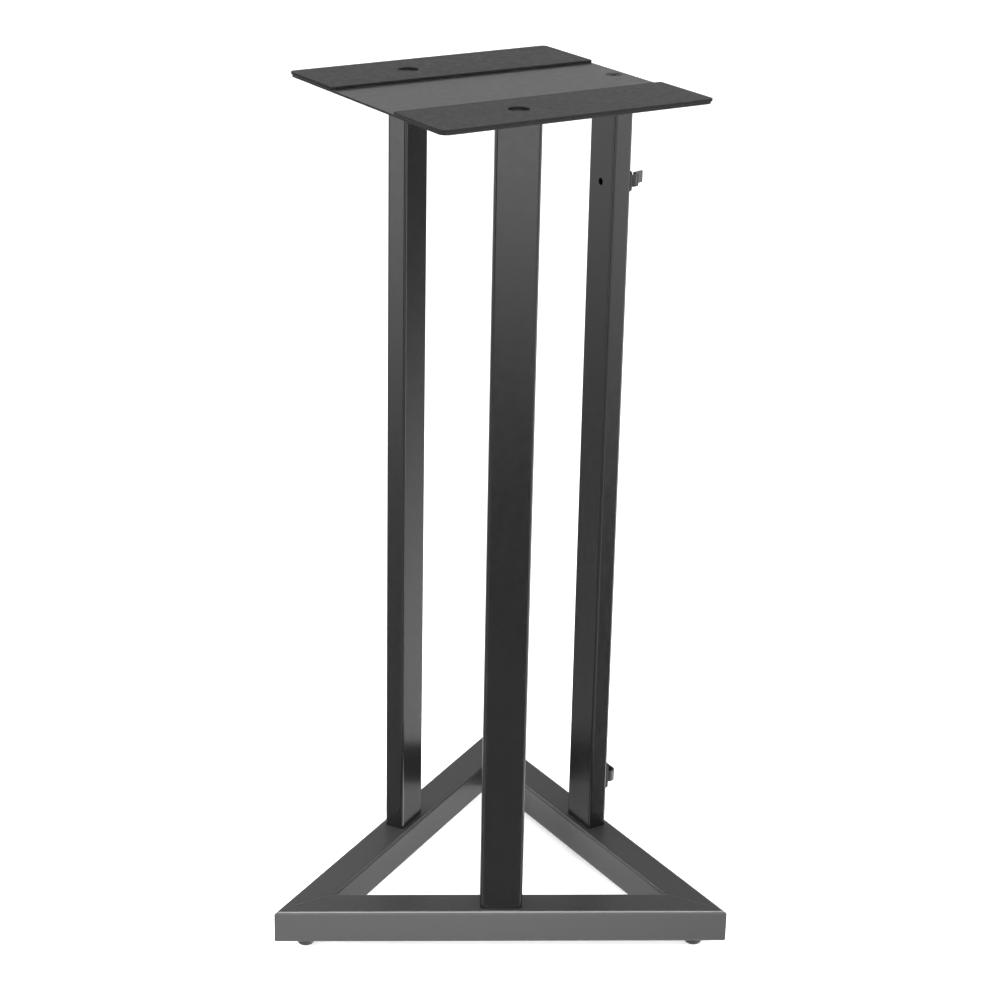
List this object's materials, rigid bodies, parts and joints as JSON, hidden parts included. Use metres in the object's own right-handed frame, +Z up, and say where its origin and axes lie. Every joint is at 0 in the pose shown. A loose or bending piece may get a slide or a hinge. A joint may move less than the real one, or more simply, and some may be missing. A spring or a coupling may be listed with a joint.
{
  "type": "speaker stand",
  "caption": "Fixed-height speaker stand: welded triangular tube base on levelling feet, three bolted rectangular posts, flat deck with two anti-slip pads and cable clips.",
  "frame": {"origin": "on the floor under the middle of the stand's bounding box", "axes": "+Z up, +Y towards the rear rail, whose post carries the cable clips, +X to the right seen from the front corner"},
  "size_m": [0.41, 0.3708, 0.7732],
  "materials": {
    "powder_coat": "satin charcoal powder coat",
    "pad_rubber": "fine-grained closed-cell foam rubber",
    "clip_steel": "black coated spring steel",
    "black_screws": "black oxide steel",
    "zinc_steel": "zinc plated",
    "sole_rubber": "matt moulded rubber",
    "collar_nylon": "knurled moulded nylon"
  },
  "bodies": {
    "stand": {"base_rail_rear": "powder_coat", "base_rail_left": "powder_coat", "base_rail_right": "powder_coat", "post_rear": "powder_coat", "post_left": "powder_coat", "post_right": "powder_coat", "base_nut_plate_rear": "zinc_steel", "base_nut_plate_left": "zinc_steel", "base_nut_plate_right": "zinc_steel", "top_nut_plate_rear": "zinc_steel", "top_nut_plate_left": "zinc_steel", "top_nut_plate_right": "zinc_steel", "deck_plate": "powder_coat", "deck_pad_left": "pad_rubber", "deck_pad_right": "pad_rubber", "deck_screws": "black_screws", "base_bolts": "zinc_steel", "base_washers": "zinc_steel", "base_lock_washers": "zinc_steel", "foot_inserts": "zinc_steel", "cable_clip_upper": "clip_steel", "cable_clip_lower": "clip_steel", "clip_screws": "black_screws"},
    "foot_front_sole": {"foot_sole_front": "sole_rubber"},
    "foot_front_screw": {"foot_collar_front": "collar_nylon", "foot_stud_front": "zinc_steel"},
    "foot_rear_right_sole": {"foot_sole_rear_right": "sole_rubber"},
    "foot_rear_right_screw": {"foot_collar_rear_right": "collar_nylon", "foot_stud_rear_right": "zinc_steel"},
    "foot_rear_left_sole": {"foot_sole_rear_left": "sole_rubber"},
    "foot_rear_left_screw": {"foot_collar_rear_left": "collar_nylon", "foot_stud_rear_left": "zinc_steel"}
  },
  "joints": [
    {"name": "foot_front_travel", "type": "slide", "parent": "stand", "child": "foot_front_sole", "axis": [0, 0, 1], "range_m": [-0.01, 0]},
    {"name": "foot_front_turn", "type": "hinge", "parent": "foot_front_sole", "child": "foot_front_screw", "pos_m": [0, -0.15361, 0], "axis": [0, 0, 1], "range_deg": [-3600, 0]},
    {"name": "foot_rear_right_travel", "type": "slide", "parent": "stand", "child": "foot_rear_right_sole", "axis": [0, 0, 1], "range_m": [-0.01, 0]},
    {"name": "foot_rear_right_turn", "type": "hinge", "parent": "foot_rear_right_sole", "child": "foot_rear_right_screw", "pos_m": [0.1775, 0.15383, 0], "axis": [0, 0, 1], "range_deg": [-3600, 0]},
    {"name": "foot_rear_left_travel", "type": "slide", "parent": "stand", "child": "foot_rear_left_sole", "axis": [0, 0, 1], "range_m": [-0.01, 0]},
    {"name": "foot_rear_left_turn", "type": "hinge", "parent": "foot_rear_left_sole", "child": "foot_rear_left_screw", "pos_m": [-0.1775, 0.15383, 0], "axis": [0, 0, 1], "range_deg": [-3600, 0]}
  ],
  "couplings": [
    {"joint": "foot_front_turn", "follows": "foot_front_travel", "rad_per_m": 6283.2},
    {"joint": "foot_rear_right_turn", "follows": "foot_rear_right_travel", "rad_per_m": 6283.2},
    {"joint": "foot_rear_left_turn", "follows": "foot_rear_left_travel", "rad_per_m": 6283.2}
  ]
}
